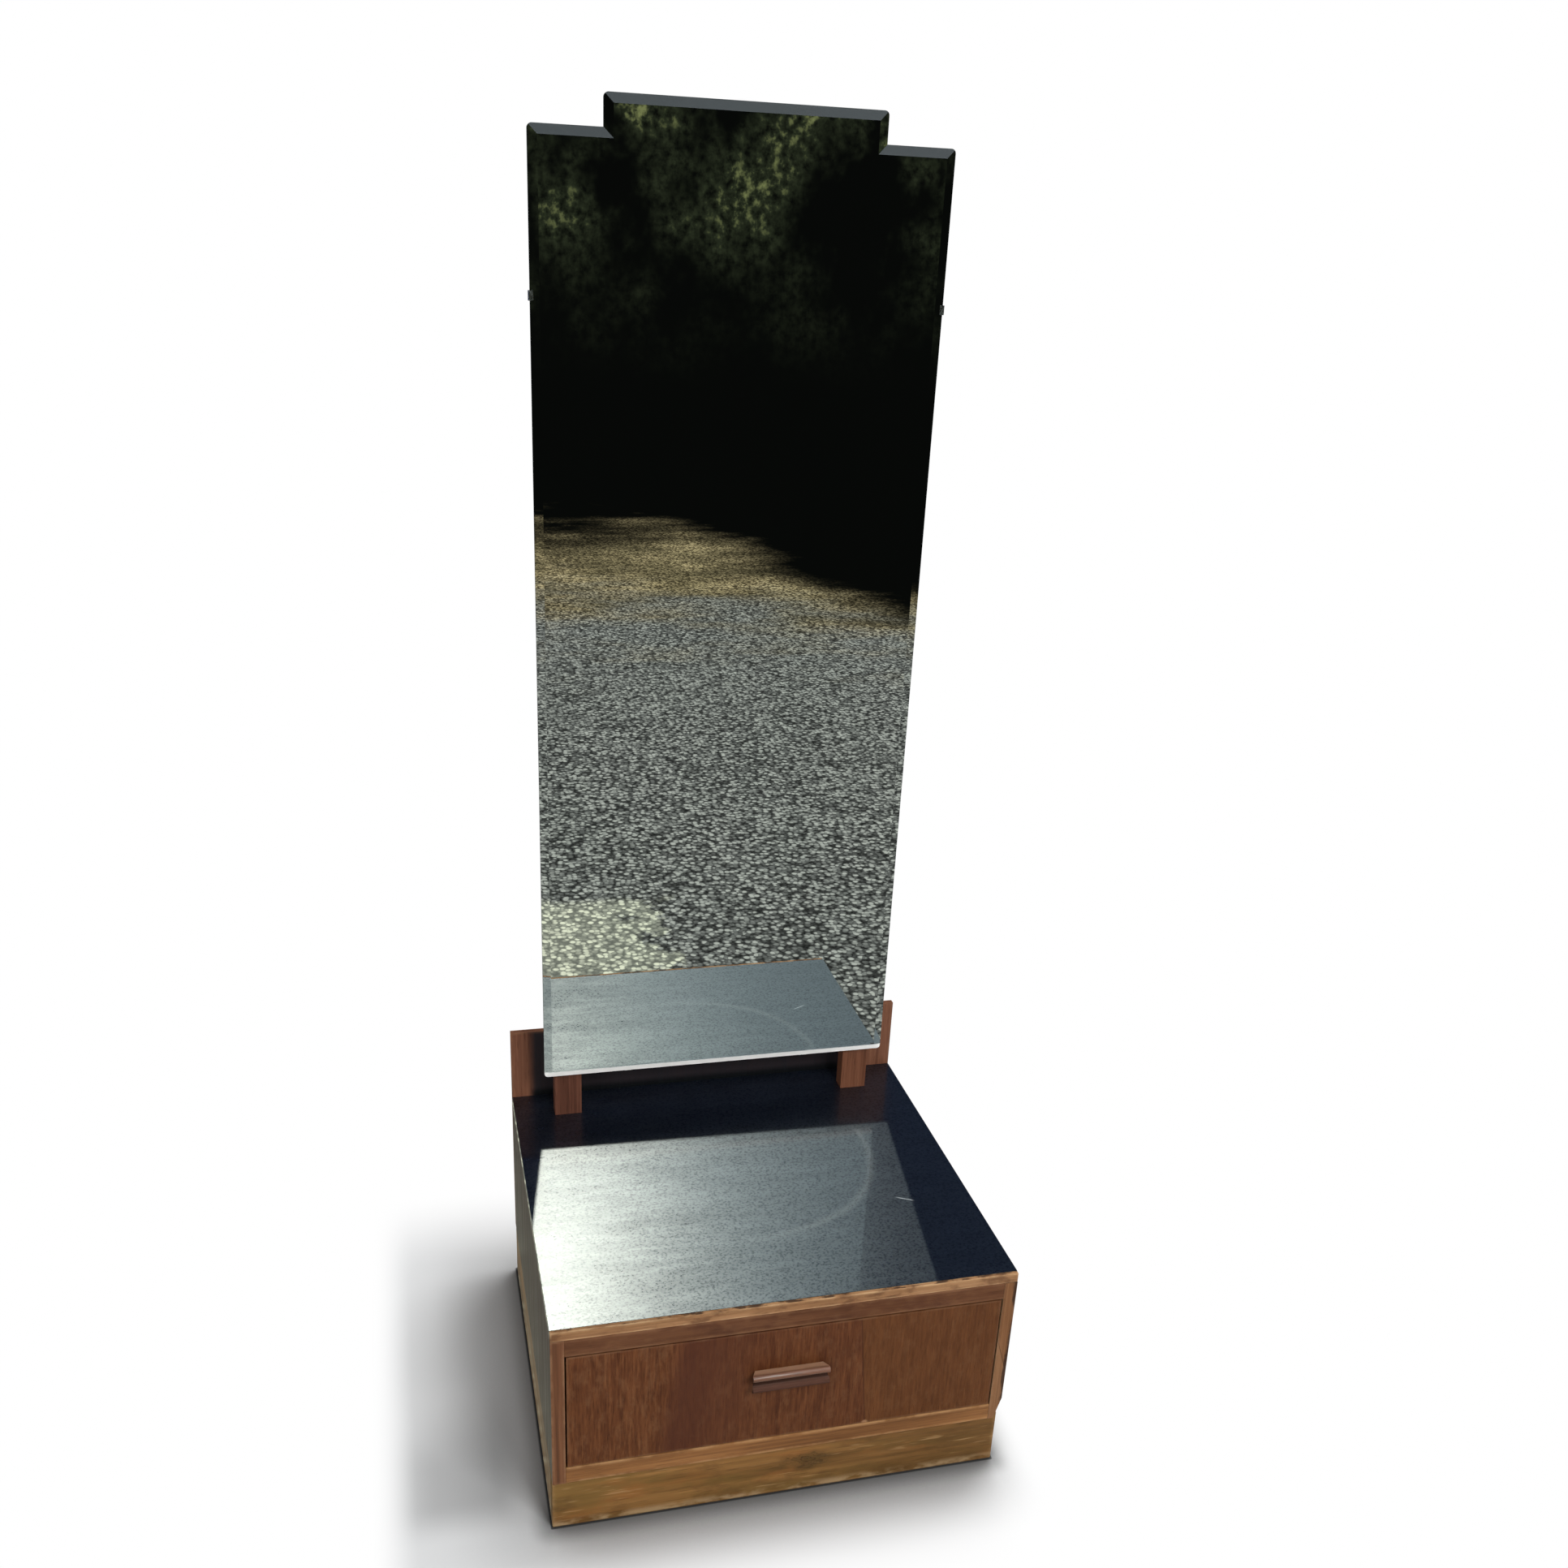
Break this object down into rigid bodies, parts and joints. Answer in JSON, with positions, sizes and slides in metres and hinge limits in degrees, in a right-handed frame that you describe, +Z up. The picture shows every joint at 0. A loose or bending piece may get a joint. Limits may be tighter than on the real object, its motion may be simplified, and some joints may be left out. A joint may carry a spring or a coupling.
{
  "type": "floor-standing dressing mirror with drawer",
  "caption": "Tall stepped-top bevelled mirror fixed on uprights above a low veneered cabinet with a drawer, for dressing.",
  "frame": {"origin": "on the floor, at the centre of the whole footprint, the drawer pull counted in", "axes": "+Z up, -Y out of the drawer front, +X to the right of someone facing the mirror"},
  "size_m": [0.533, 0.492, 1.487],
  "materials": {
    "walnut_veneer": "reddish-brown walnut veneer, satin polish, worn",
    "black_top": "black polish, glossy, dusty",
    "worn_lipping": "solid wood, polish worn away",
    "pale_oak": "solid wood, straight grain, dull",
    "upright_wood": "stained solid wood, satin",
    "frame_pine": "bare softwood",
    "drawer_beech": "bare hardwood",
    "plywood": "bare plywood",
    "mirror": "silvered plate glass, bevelled",
    "clip_metal": "plated steel strip, dulled",
    "steel": "dull steel"
  },
  "bodies": {
    "cabinet": {"left_side": "walnut_veneer", "right_side": "walnut_veneer", "top_rail": "walnut_veneer", "back_panel": "walnut_veneer", "top_board": "black_top", "top_lipping": "worn_lipping", "bottom_rail": "pale_oak", "plinth_front": "pale_oak", "plinth_left": "pale_oak", "plinth_right": "pale_oak", "plinth_back": "frame_pine", "plinth_blocks": "frame_pine", "bottom_back_rail": "frame_pine", "runner_left": "frame_pine", "runner_right": "frame_pine", "kicker_left": "frame_pine", "kicker_right": "frame_pine", "hanging_rail": "frame_pine", "drawer_stops": "frame_pine", "left_upright": "upright_wood", "right_upright": "upright_wood", "dust_panel": "plywood", "mirror_backing": "plywood", "mirror_glass": "mirror", "mirror_clips": "clip_metal", "clip_screws": "steel", "back_screws": "steel", "top_screws": "steel", "upright_screws": "steel", "backing_screws": "steel"},
    "drawer": {"drawer_front": "walnut_veneer", "drawer_left": "drawer_beech", "drawer_right": "drawer_beech", "drawer_back": "drawer_beech", "drawer_bottom": "plywood", "drawer_pull": "walnut_veneer", "drawer_bottom_screws": "steel", "pull_screws": "steel"}
  },
  "joints": [
    {"name": "drawer_slide", "type": "slide", "parent": "cabinet", "child": "drawer", "axis": [0, -1, 0], "range_m": [0, 0.3]}
  ]
}
